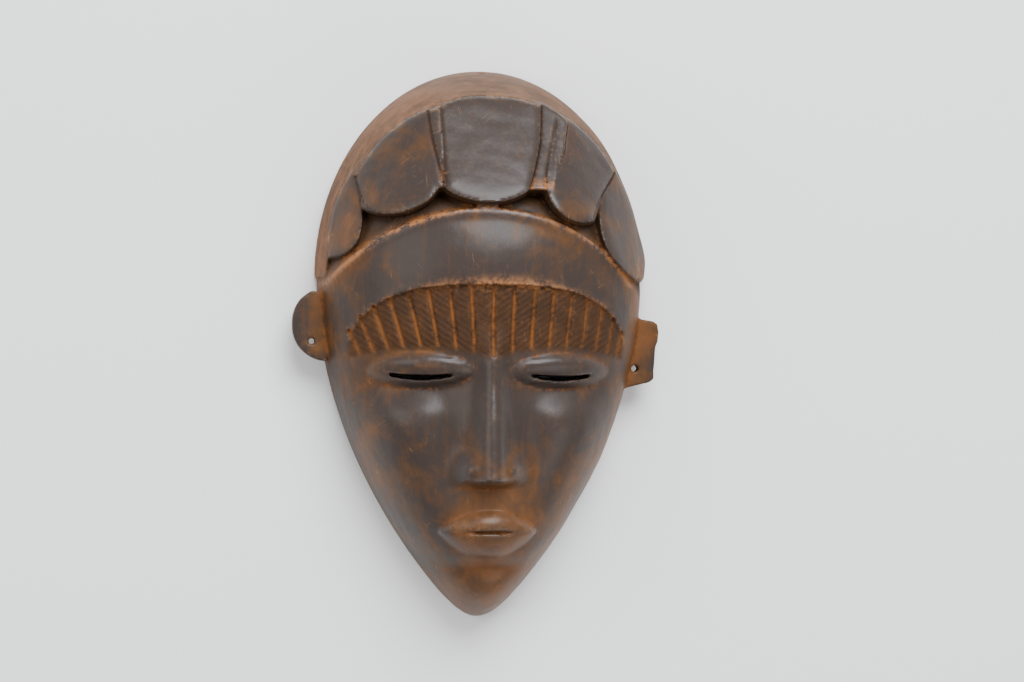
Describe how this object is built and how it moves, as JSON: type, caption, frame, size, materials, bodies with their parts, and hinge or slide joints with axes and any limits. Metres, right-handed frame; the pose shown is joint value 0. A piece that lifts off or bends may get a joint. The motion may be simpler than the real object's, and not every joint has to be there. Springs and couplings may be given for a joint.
{
  "type": "carved wooden face mask",
  "caption": "Hollow-backed oval wooden mask: overlapping headdress plates, grooved brow, slit eyes, long nose and pierced side ears. Hangs on a wall or is worn.",
  "frame": {"origin": "centre of the bounding box in X and Y, on the plane of the flat back rim", "axes": "+Z out of the face, +Y to the crown of the head, X across the face; the mask lies face up on its rim"},
  "size_m": [0.194, 0.29, 0.0874],
  "materials": {
    "wood": "dark brown-black hand-polished patina with rusty brown in the cuts"
  },
  "bodies": {
    "root": {"mask": "wood"}
  },
  "joints": []
}
